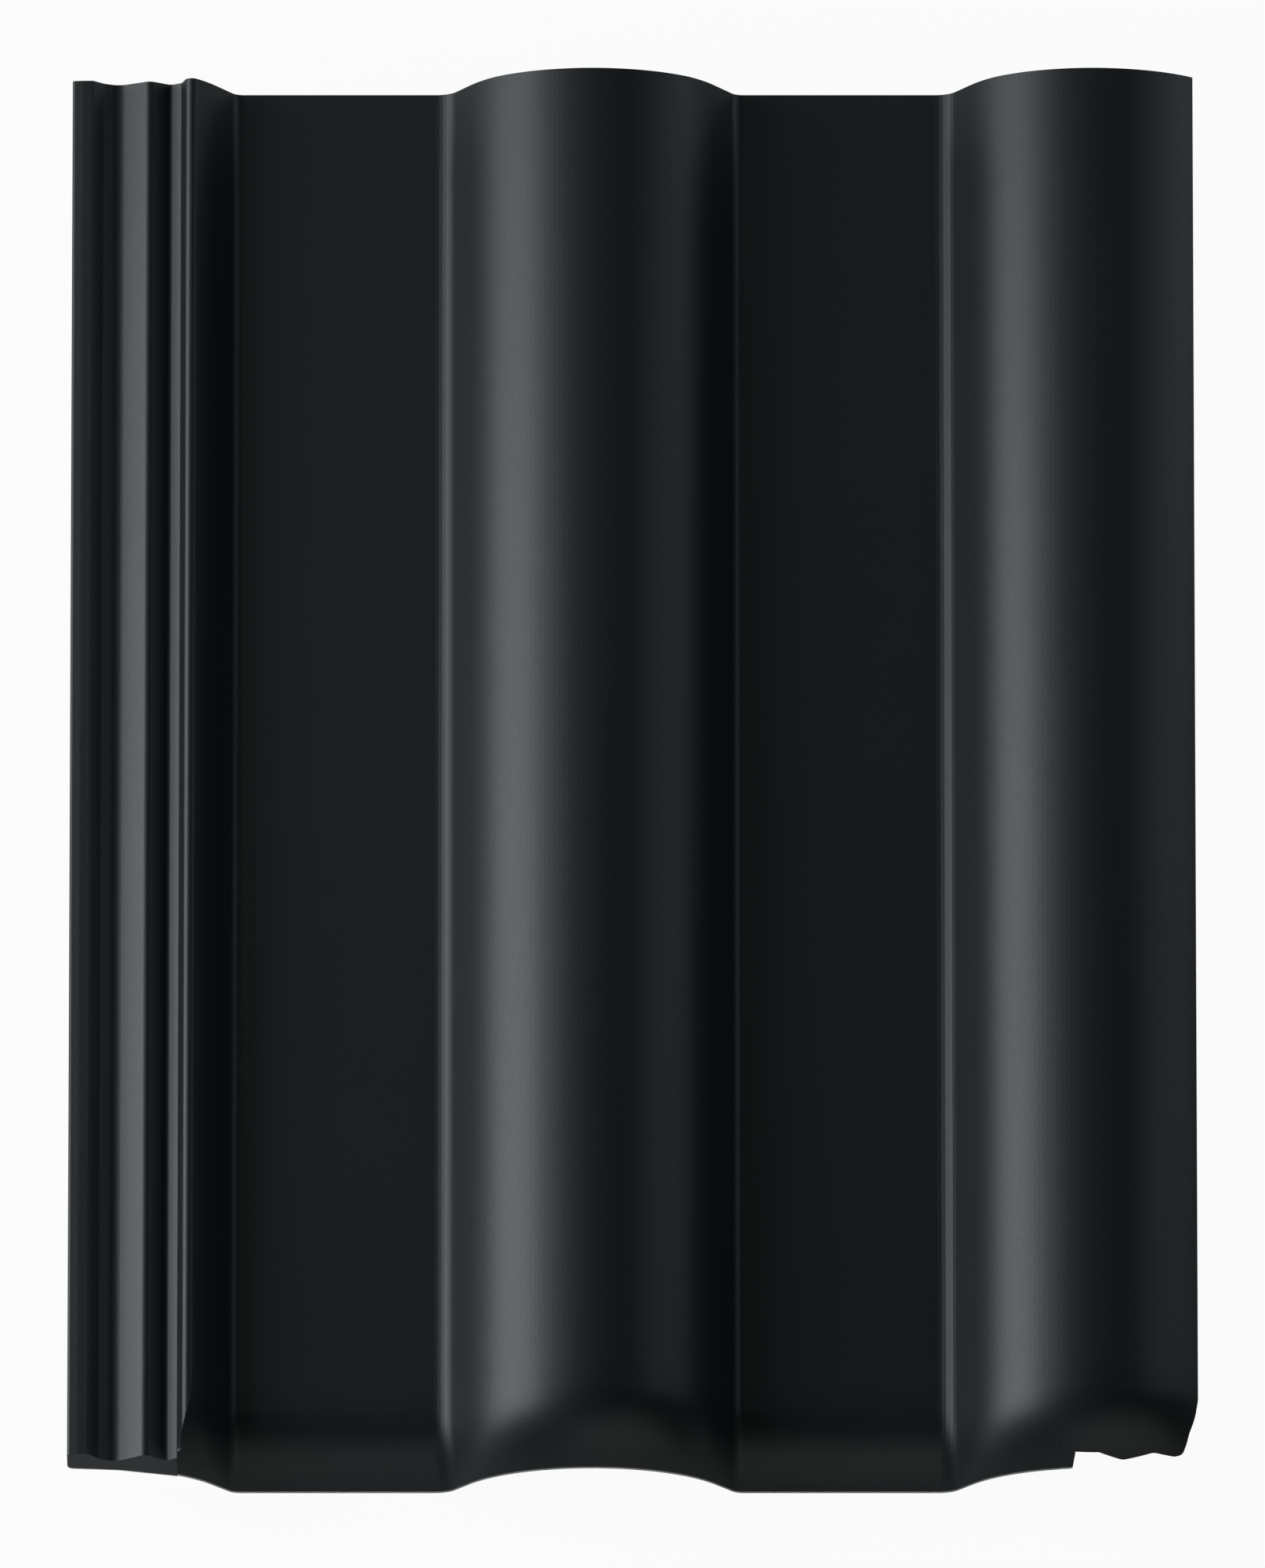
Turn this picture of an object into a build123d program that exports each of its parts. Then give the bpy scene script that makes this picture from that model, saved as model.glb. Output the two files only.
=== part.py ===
from build123d import *
import math
import os

os.makedirs("parts", exist_ok=True)

# All lengths are in millimetres. The tile is drawn lying flat: X runs across it, Y from the
# rounded front edge to the head, and Z zero is the top of the flat pans. At the end it is
# tilted onto the edge and the nibs that it rests on.

# Overall size, and the width by which a tile covers its neighbour
tile_width = 330.0
tile_length = 420.0
overlap = 32.4

# Rolls and pans. The left roll rises out of the step and the right roll ends at the lip, each
# turned this far from its crest.
crest_height = 31.5
roll_half_base = 42.2
flank_angle = 60.0
step_turn_angle = 42.9
lip_turn_angle = 45.2
foot_rounding = 5.0

# Thickness of the body
pan_thickness = 12.0
crest_thickness = 13.0
flank_thickness = 10.0

# Side channels, measured in from the left edge and down from the crest of the rolls
wall_width = 6.0
wall_slope = 3.3
wall_below_crest = 15.7
groove_one_inset = 13.7
groove_one_below_crest = 21.2
rib_inset = 22.8
rib_below_crest = 16.2
groove_two_inset = 28.9
groove_two_below_crest = 20.3
step_foot_inset = 32.1
step_foot_below_crest = 18.3
step_lean = 2.1

# Underside of the channels, measured in the same way
edge_under_below_crest = 25.9
knee_inset = 15.0
knee_below_crest = 27.1
root_below_crest = 32.5

# Covering lip, which lies over the channels of the next tile with some room to move
side_gap = 3.4
lip_play = 2.2
lip_wall_play = 3.9
lip_groove_play = 5.0
lip_wall_ease = 0.8
lip_corner_inset = 4.4
lip_corner_below_edge = 5.0
lip_face_inset = 2.4
lip_face_below_edge = 1.2
lip_edge_height = 0.8

# Roundings of the section
step_rounding = 2.0
slope_rounding = 4.0
outer_rounding = 2.0
groove_one_rounding = 4.5
groove_two_rounding = 1.6
rib_rounding = 2.4
corner_rounding = 0.8
edge_rounding = 0.4

# Rounded front edge, and the rim under it
nose_run = 21.4
nose_drop = 14.2
nose_start_angle = 7.0
nose_end_angle = 57.0
nose_edge_height = 2.0
rim_width = 12.0
rim_root = 2.0
lip_relief_start = 14.9
channel_end_inset = 4.2
channel_end_lean = 11.0

# Weather bar behind the rim
bar_gap = 16.0
bar_width = 7.0
bar_depth = 3.0

# Hanging nibs near the head
nib_width = 36.0
nib_length = 18.0
nib_depth = 13.0
nib_inset = 4.0
nib_draft = 12.0
nib_rounding = 2.0
nib_root = 1.0

# Cutters reach this far past what they cut
cutter_margin = 5.0

# Slopes of the flanks and of the front edge
lean = math.radians(flank_angle)
nose_start = math.tan(math.radians(nose_start_angle))
nose_end = math.tan(math.radians(nose_end_angle))
nose_knee = (nose_run * nose_end - nose_drop) / (nose_end - nose_start)

# Heights
pan_floor = -pan_thickness
crest_under = crest_height - crest_thickness
under_rise = crest_under - pan_floor
wall_height = crest_height - wall_below_crest
groove_one_floor = crest_height - groove_one_below_crest
rib_height = crest_height - rib_below_crest
groove_two_floor = crest_height - groove_two_below_crest
step_foot_height = crest_height - step_foot_below_crest
edge_under = crest_height - edge_under_below_crest
root_height = crest_height - root_below_crest
front_depth = nose_drop + nose_edge_height
rim_drop = front_depth - pan_thickness


def roll_radius(rise, half_base):
    """Radius of the arc that runs smoothly into both straight flanks of a roll."""
    arc_part = math.sin(lean) - (1 - math.cos(lean)) / math.tan(lean)
    return (half_base - rise / math.tan(lean)) / arc_part


def roll_height(offset, top, radius):
    """Height of a roll at a distance from its crest, between its shoulders."""
    return top - radius + math.sqrt(radius ** 2 - offset ** 2)


under_half_base = roll_half_base - flank_thickness / math.sin(lean) + pan_thickness / math.tan(lean)
top_radius = roll_radius(crest_height, roll_half_base)
under_radius = roll_radius(under_rise, under_half_base)

# Places along the length
front = -tile_length / 2
head = tile_length / 2
nose_back = front + nose_run
rim_back = front + rim_width
bar_front = rim_back + rim_drop + bar_gap
nib_back = head - nib_inset
nib_front = nib_back - nib_length
nib_slant = nib_depth * math.tan(math.radians(nib_draft))

# Places across the width
left_edge = -tile_width / 2
right_edge = tile_width / 2
step_across = left_edge + step_foot_inset + step_lean
left_crest = step_across - top_radius * math.sin(math.radians(step_turn_angle))
right_crest = right_edge - top_radius * math.sin(math.radians(lip_turn_angle))
middle_crest = (left_crest + right_crest) / 2
pan_centres = [(left_crest + middle_crest) / 2, (middle_crest + right_crest) / 2]

# Corners of the channels
wall_end = (left_edge + wall_width, wall_height)
slope_foot = (wall_end[0] + wall_slope, wall_height - wall_slope)
groove_one = (left_edge + groove_one_inset, groove_one_floor)
rib = (left_edge + rib_inset, rib_height)
groove_two = (left_edge + groove_two_inset, groove_two_floor)
step_foot = (left_edge + step_foot_inset, step_foot_height)
step_top = (step_across, roll_height(step_across - left_crest, crest_height, top_radius))
left_under_foot = left_crest + under_half_base
channel_root = (left_under_foot - (root_height - pan_floor) / math.tan(lean), root_height)
channel_knee = (left_edge + knee_inset, crest_height - knee_below_crest)

# Corners of the lip, which repeats the channels further right and a little higher
lip_shift = tile_width - overlap - side_gap
lip_top = (right_edge, roll_height(right_edge - right_crest, crest_height, top_radius))
lip_edge = (right_edge, lip_top[1] - lip_edge_height)
lip_face = (right_edge - lip_face_inset, lip_top[1] - lip_face_below_edge)
lip_corner = (right_edge - lip_corner_inset, lip_top[1] - lip_corner_below_edge)
lip_rib_two = (groove_two[0] + lip_shift, groove_two_floor + lip_play)
lip_valley = (rib[0] + lip_shift, rib_height + lip_play)
lip_rib_one = (groove_one[0] + lip_shift, groove_one_floor + lip_groove_play)
lip_wall = (wall_end[0] + lip_shift + lip_wall_ease, wall_height + lip_wall_play)
lip_root = (left_edge + lip_shift, wall_height + lip_wall_play)
lip_under = (lip_root[0], roll_height(lip_root[0] - right_crest, crest_under, under_radius))


def roll_feet(base, half_base):
    """The four corners between the rolls and the pans."""
    return [
        (left_crest + half_base, base),
        (middle_crest - half_base, base),
        (middle_crest + half_base, base),
        (right_crest - half_base, base),
    ]


def on_roll(crest, top, radius, turn):
    """A point on the arc of a roll, turned away from its crest by an angle."""
    return (crest + radius * math.sin(turn), top - radius * (1 - math.cos(turn)))


def draw_rolls(stop, top, base, half_base, radius):
    """Draw from the left foot over the middle roll to a place on the right roll."""
    left_shoulder = on_roll(middle_crest, top, radius, -lean)
    right_shoulder = on_roll(middle_crest, top, radius, lean)
    last_shoulder = on_roll(right_crest, top, radius, -lean)
    stop_turn = math.asin((stop - right_crest) / radius)
    feet = roll_feet(base, half_base)
    Polyline(feet[0], feet[1], left_shoulder)
    ThreePointArc(left_shoulder, (middle_crest, top), right_shoulder)
    Polyline(right_shoulder, feet[2], feet[3], last_shoulder)
    ThreePointArc(
        last_shoulder,
        on_roll(right_crest, top, radius, (stop_turn - lean) / 2),
        on_roll(right_crest, top, radius, stop_turn),
    )


def draw_top(start, stop, drop=0.0):
    """Draw the top of the tile over a width, lowered by a drop."""
    top = crest_height - drop
    start_turn = math.asin((start - left_crest) / top_radius)
    shoulder = on_roll(left_crest, top, top_radius, lean)
    ThreePointArc(
        on_roll(left_crest, top, top_radius, start_turn),
        on_roll(left_crest, top, top_radius, (start_turn + lean) / 2),
        shoulder,
    )
    Line(shoulder, roll_feet(-drop, roll_half_base)[0])
    draw_rolls(stop, top, -drop, roll_half_base, top_radius)


def top_at(across, crest, drop):
    """A point on a roll's top at a place across the tile, lowered by a drop."""
    return (across, roll_height(across - crest, crest_height, top_radius) - drop)


def draw_strip(upper, lower):
    """Outline a strip between two depths below the top, from the step to the lip."""
    start = step_top[0]
    stop = lip_root[0]
    draw_top(start, stop, lower)
    Line(top_at(stop, right_crest, lower), top_at(stop, right_crest, upper))
    draw_top(start, stop, upper)
    Line(top_at(start, left_crest, upper), top_at(start, left_crest, lower))


def round_corners(sketch, places, radius):
    """Round the corners of a section that lie at the given places."""
    chosen = [sketch.vertices().sort_by_distance(Vector(*place))[0] for place in places]
    fillet(chosen, radius)


with BuildPart() as flat_tile:
    # Body with its full section, from the head to the front
    with BuildSketch(Plane.XZ.offset(-head)) as section:
        with BuildLine():
            Polyline(
                (left_edge, edge_under),
                (left_edge, wall_height),
                wall_end,
                slope_foot,
                groove_one,
                rib,
                groove_two,
                step_foot,
                step_top,
            )
            draw_top(step_top[0], right_edge)
            Polyline(
                lip_top,
                lip_edge,
                lip_face,
                lip_corner,
                lip_rib_two,
                lip_valley,
                lip_rib_one,
                lip_wall,
                lip_root,
                lip_under,
            )
            draw_rolls(lip_root[0], crest_under, pan_floor, under_half_base, under_radius)
            Polyline(
                roll_feet(pan_floor, under_half_base)[0],
                channel_root,
                channel_knee,
                (left_edge, edge_under),
            )
        make_face()
        round_corners(section, roll_feet(0, roll_half_base), foot_rounding)
        round_corners(section, roll_feet(pan_floor, under_half_base), foot_rounding)
        round_corners(section, [step_top], step_rounding)
        round_corners(section, [slope_foot, channel_root], slope_rounding)
        round_corners(section, [(left_edge, edge_under)], outer_rounding)
        round_corners(section, [groove_one], groove_one_rounding)
        round_corners(section, [groove_two, lip_rib_two], groove_two_rounding)
        round_corners(section, [rib, lip_rib_one, lip_valley], rib_rounding)
        round_corners(section, [(left_edge, wall_height), wall_end, step_foot], corner_rounding)
        round_corners(section, [lip_face, lip_corner, lip_wall], corner_rounding)
        round_corners(section, [lip_top], edge_rounding)
    extrude(amount=tile_length)

    # Front edge, rounded down by a cutter that keeps the shape of the top
    cutter_top = crest_height + cutter_margin
    cutter_left = left_edge - cutter_margin
    cutter_right = right_edge + cutter_margin
    cutter_back = nose_back + cutter_margin
    cutter_lift = cutter_margin * nose_start
    with BuildSketch(Plane.XZ.offset(-cutter_back)) as nose_section:
        with BuildLine():
            draw_top(left_crest, cutter_right, -cutter_lift)
            Polyline(
                top_at(cutter_right, right_crest, -cutter_lift),
                (cutter_right, cutter_top + nose_drop),
                (cutter_left, cutter_top + nose_drop),
                (cutter_left, crest_height + cutter_lift),
                (left_crest, crest_height + cutter_lift),
            )
        make_face()
        round_corners(nose_section, roll_feet(cutter_lift, roll_half_base), foot_rounding)
    with BuildLine(Plane.YZ) as nose_path:
        Line((cutter_back, cutter_lift), (nose_back, 0))
        Bezier((nose_back, 0), (nose_back - nose_knee, -nose_knee * nose_start), (front, -nose_drop))
        Line((front, -nose_drop), (front - cutter_margin, -nose_drop - cutter_margin * nose_end))
    sweep(path=nose_path.line, normal=(0, 1, 0), mode=Mode.SUBTRACT)

    # Rim under the front edge, which follows the rolls and ramps back into the body
    with BuildSketch(Plane.XZ.offset(-rim_back)) as rim_section:
        with BuildLine():
            draw_strip(pan_thickness - rim_root, front_depth)
        make_face()
        round_corners(rim_section, roll_feet(-front_depth, roll_half_base), foot_rounding)
    extrude(amount=rim_width)
    with BuildSketch(Plane.XZ.offset(-rim_back)):
        add(rim_section.sketch)
    extrude(amount=rim_drop * math.sqrt(2), dir=(0, 1, 1))

    # The flanks are thicker than the rim, so their lower front corner is bevelled off
    bevel_run = flank_thickness / math.cos(lean) - front_depth + cutter_margin
    with BuildSketch(Plane.XZ.offset(-front)) as bevel_section:
        with BuildLine():
            draw_top(channel_root[0], lip_root[0], front_depth)
            Polyline(
                top_at(lip_root[0], right_crest, front_depth),
                (lip_root[0], -front_depth - crest_height),
                (channel_root[0], -front_depth - crest_height),
                top_at(channel_root[0], left_crest, front_depth),
            )
        make_face()
        round_corners(bevel_section, roll_feet(-front_depth, roll_half_base), foot_rounding)
    extrude(amount=bevel_run * math.sqrt(2), dir=(0, 1, -1), mode=Mode.SUBTRACT)

    # Weather bar that runs across under the rolls and pans
    bar_floor = pan_thickness + bar_depth
    with BuildSketch(Plane.XZ.offset(-bar_front - bar_width)) as bar_section:
        with BuildLine():
            draw_strip(pan_thickness - rim_root, bar_floor)
        make_face()
        round_corners(bar_section, roll_feet(-bar_floor, roll_half_base), foot_rounding)
    extrude(amount=bar_width)

    # The lip thins towards the front, so that its edge rises over the tile beside it
    relief_back = nose_back - lip_relief_start
    relief_run = relief_back - front + cutter_margin
    with BuildSketch(Plane.XZ.offset(-relief_back)):
        with BuildLine():
            Polyline(
                lip_root,
                lip_wall,
                lip_rib_one,
                lip_valley,
                lip_rib_two,
                lip_corner,
                (cutter_right, lip_corner[1] + cutter_margin + lip_corner_inset),
                (cutter_right, pan_floor),
                (lip_root[0], pan_floor),
                lip_root,
            )
        make_face()
    extrude(amount=relief_run * math.sqrt(2), dir=(0, -1, 1), mode=Mode.SUBTRACT)

    # The channels end a little behind the front edge with a leaning face
    slant = math.tan(math.radians(channel_end_lean))
    end_below = wall_height - root_height + cutter_margin
    end_front = front - cutter_margin
    with BuildSketch(Plane.YZ.offset(cutter_left)):
        with BuildLine():
            Polyline(
                (end_front, root_height - cutter_margin),
                (front + channel_end_inset - end_below * slant, root_height - cutter_margin),
                (front + channel_end_inset + cutter_margin * slant, wall_height + cutter_margin),
                (end_front, wall_height + cutter_margin),
                (end_front, root_height - cutter_margin),
            )
        make_face()
    extrude(amount=step_foot[0] - cutter_left, mode=Mode.SUBTRACT)

    # Nibs that hang over the batten, one under each pan
    for pan_centre in pan_centres:
        with BuildSketch(Plane.YZ.offset(pan_centre - nib_width / 2)):
            with BuildLine():
                Polyline(
                    (nib_front, pan_floor + nib_root),
                    (nib_front, pan_floor),
                    (nib_front + nib_slant, pan_floor - nib_depth),
                    (nib_back - nib_slant, pan_floor - nib_depth),
                    (nib_back, pan_floor),
                    (nib_back, pan_floor + nib_root),
                    (nib_front, pan_floor + nib_root),
                )
            make_face()
        extrude(amount=nib_width)
    nib_tips = flat_tile.faces().filter_by(Axis.Z).group_by(Axis.Z)[0]
    fillet(nib_tips.edges(), nib_rounding)

# The tile rests on its front edge and on the front corners of its nibs
nib_toe = nib_front + nib_slant + nib_rounding
pitch = math.degrees(math.atan2(pan_thickness + nib_depth - front_depth, nib_toe - front))
tilted = Location((0, 0, 0), (pitch, 0, 0)) * flat_tile.part
bounds = tilted.bounding_box()
with BuildPart() as roof_tile:
    with Locations((-bounds.center().X, -bounds.center().Y, -bounds.min.Z)):
        add(tilted)

roof_tile.part.label = "roof tile"
export_step(roof_tile.part, "parts/roof_tile.step")
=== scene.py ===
import enum
import logging
import math
from dataclasses import dataclass, field
from typing import Any, Callable, ClassVar

import bmesh
import bpy
from mathutils import Matrix, Vector


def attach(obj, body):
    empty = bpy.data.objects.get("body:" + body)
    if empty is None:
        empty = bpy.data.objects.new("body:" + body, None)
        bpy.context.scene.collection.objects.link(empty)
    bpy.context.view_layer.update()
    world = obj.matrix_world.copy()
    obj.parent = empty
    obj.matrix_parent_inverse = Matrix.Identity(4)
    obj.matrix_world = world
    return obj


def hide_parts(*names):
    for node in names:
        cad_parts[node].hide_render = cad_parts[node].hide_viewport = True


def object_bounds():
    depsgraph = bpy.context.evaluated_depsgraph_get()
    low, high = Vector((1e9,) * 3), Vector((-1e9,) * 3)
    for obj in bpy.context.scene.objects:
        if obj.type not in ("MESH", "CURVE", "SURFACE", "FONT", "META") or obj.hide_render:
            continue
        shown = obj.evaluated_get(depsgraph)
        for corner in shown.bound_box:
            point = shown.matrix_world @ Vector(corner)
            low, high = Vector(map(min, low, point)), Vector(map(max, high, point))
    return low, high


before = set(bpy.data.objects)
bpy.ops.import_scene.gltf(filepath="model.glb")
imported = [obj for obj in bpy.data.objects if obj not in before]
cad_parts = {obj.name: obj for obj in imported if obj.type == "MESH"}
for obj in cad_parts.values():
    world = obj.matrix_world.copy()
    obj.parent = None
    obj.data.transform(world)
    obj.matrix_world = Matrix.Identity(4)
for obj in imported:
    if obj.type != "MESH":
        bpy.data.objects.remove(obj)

CAD_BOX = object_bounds()
LOG = logging.getLogger("roof_tile")
MM = 0.001
TINY = 1e-9
WHITE = (1.0, 1.0, 1.0, 1.0)

Point = tuple[float, float]
Corner = tuple[float, float, float]
Colour = tuple[float, float, float]


class Term:
    """A number socket of a node tree, with the arithmetic that adds Math nodes."""

    def __init__(self, maker: "NodeMaker", socket: bpy.types.NodeSocket) -> None:
        """Wraps a socket.

        Args:
            maker: The maker of the tree that the socket is in.
            socket: An output socket that carries one number.
        """
        self.maker = maker
        self.socket = socket

    def _math(self, operation: str, *values: Any) -> "Term":
        """Adds a Math node on some values and wraps its result."""
        node = self.maker.add("ShaderNodeMath", {"operation": operation}, dict(enumerate(values)))
        return Term(self.maker, node.outputs[0])

    def __add__(self, other: Any) -> "Term":
        """Adds."""
        return self._math("ADD", self, other)

    def __radd__(self, other: Any) -> "Term":
        """Adds, with this term on the right."""
        return self._math("ADD", other, self)

    def __sub__(self, other: Any) -> "Term":
        """Subtracts."""
        return self._math("SUBTRACT", self, other)

    def __rsub__(self, other: Any) -> "Term":
        """Subtracts this term from another."""
        return self._math("SUBTRACT", other, self)

    def __mul__(self, other: Any) -> "Term":
        """Multiplies."""
        return self._math("MULTIPLY", self, other)

    def __rmul__(self, other: Any) -> "Term":
        """Multiplies, with this term on the right."""
        return self._math("MULTIPLY", other, self)

    def __truediv__(self, other: Any) -> "Term":
        """Divides."""
        return self._math("DIVIDE", self, other)

    def __rtruediv__(self, other: Any) -> "Term":
        """Divides another by this term."""
        return self._math("DIVIDE", other, self)

    def at_least(self, other: Any) -> "Term":
        """The larger of this term and another."""
        return self._math("MAXIMUM", self, other)

    def at_most(self, other: Any) -> "Term":
        """The smaller of this term and another."""
        return self._math("MINIMUM", self, other)

    def above(self, other: Any) -> "Term":
        """One where this term is above another, and zero elsewhere."""
        return self._math("GREATER_THAN", self, other)

    def root(self) -> "Term":
        """The square root."""
        return self._math("SQRT", self)


class NodeMaker:
    """Adds nodes to one tree, which may be a material's or a geometry tree."""

    def __init__(self, tree: bpy.types.NodeTree) -> None:
        """Keeps the tree.

        Args:
            tree: The tree that gets the nodes.
        """
        self.tree = tree

    def add(self, kind: str, settings: dict[str, Any], values: dict[Any, Any]) -> bpy.types.Node:
        """Adds a node, with its settings first and its sockets after them.

        Args:
            kind: The node's type name.
            settings: Properties of the node. A ramp's stops are given as "stops".
            values: A value, a socket or a term for each input, by name or number.

        Returns:
            The new node.
        """
        node = self.tree.nodes.new(kind)
        for name, value in settings.items():
            if name == "stops":
                self._set_stops(node.color_ramp, value)
            else:
                setattr(node, name, value)
        for key, value in values.items():
            target = node.inputs[key]
            if isinstance(value, Term):
                self.tree.links.new(value.socket, target)
            elif isinstance(value, bpy.types.NodeSocket):
                self.tree.links.new(value, target)
            else:
                target.default_value = value
        return node

    def term(self, socket: bpy.types.NodeSocket) -> Term:
        """Wraps a socket of this tree."""
        return Term(self, socket)

    @staticmethod
    def _set_stops(ramp: bpy.types.ColorRamp, stops: list[tuple[float, float]]) -> None:
        """Gives a ramp its stops.

        Args:
            ramp: The ramp, which has two stops at first.
            stops: A place and a grey value for each stop.
        """
        while len(ramp.elements) < len(stops):
            ramp.elements.new(1.0)
        for element, (place, grey) in zip(ramp.elements, stops):
            element.position = place
            element.color = (grey, grey, grey, 1.0)


@dataclass(frozen=True)
class Grain:
    """One scale of surface grain, with its size and the height of its bumps in millimetres."""

    size: float
    height: float
    detail: float = 3.0


@dataclass(frozen=True)
class ConcreteFinish:
    """A concrete surface, coated or bare.

    Its colour goes from dark_colour to colour. Patches and fine grain mix the two, and speckles
    are small spots of the lighter one. Sizes are in millimetres.
    """

    name: str
    colour: Colour
    dark_colour: Colour
    roughness: float
    roughness_spread: float
    fine_grain: Grain
    broad_grain: Grain
    speckle_size: float
    speckle_start: float
    speckle_softness: float = 0.08
    speckle_weight: float = 0.3
    patch_size: float = 35.0
    patch_detail: float = 2.0
    noise_roughness: float = 0.55

    def material(self) -> bpy.types.Material:
        """Builds the material.

        Returns:
            The new material.
        """
        material = bpy.data.materials.new(self.name)
        material.use_nodes = True
        material.node_tree.nodes.clear()
        maker = NodeMaker(material.node_tree)
        place = maker.add("ShaderNodeTexCoord", {}, {}).outputs["Object"]
        patches = self._noise(maker, place, self.patch_size, self.patch_detail)
        fine = self._noise(maker, place, self.fine_grain.size, self.fine_grain.detail)
        broad = self._noise(maker, place, self.broad_grain.size, self.broad_grain.detail)
        speckle = self._noise(maker, place, self.speckle_size, 1.0)
        stops = [(self.speckle_start, 0.0), (self.speckle_start + self.speckle_softness, 1.0)]
        ramp = maker.add("ShaderNodeValToRGB", {"stops": stops}, {"Fac": speckle})
        specks = maker.term(ramp.outputs["Color"])
        shade = (patches * 0.5 + fine * 0.5) * (1 - self.speckle_weight) + specks * self.speckle_weight
        colour = maker.add(
            "ShaderNodeMix",
            {"data_type": "RGBA"},
            {"Factor": shade, "A": (*self.dark_colour, 1.0), "B": (*self.colour, 1.0)},
        )
        roughness = (fine - 0.5) * self.roughness_spread + self.roughness
        rise = fine * (self.fine_grain.height * MM) + broad * (self.broad_grain.height * MM)
        bump = maker.add("ShaderNodeBump", {}, {"Strength": 1.0, "Distance": 1.0, "Height": rise})
        surface = maker.add(
            "ShaderNodeBsdfPrincipled",
            {},
            {
                "Base Color": colour.outputs["Result"],
                "Roughness": roughness,
                "Normal": bump.outputs["Normal"],
            },
        )
        maker.add("ShaderNodeOutputMaterial", {}, {"Surface": surface.outputs["BSDF"]})
        return material

    def _noise(self, maker: NodeMaker, place: Any, size: float, detail: float) -> Term:
        """Adds a noise.

        Args:
            maker: The maker of the material's nodes.
            place: The coordinates that it reads.
            size: About how large its grains are, in millimetres.
            detail: How many finer scales it has.

        Returns:
            The noise.
        """
        scale = 1.0 / (size * MM)
        values = {"Vector": place, "Scale": scale, "Detail": detail, "Roughness": self.noise_roughness}
        return maker.term(maker.add("ShaderNodeTexNoise", {}, values).outputs["Fac"])


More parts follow.
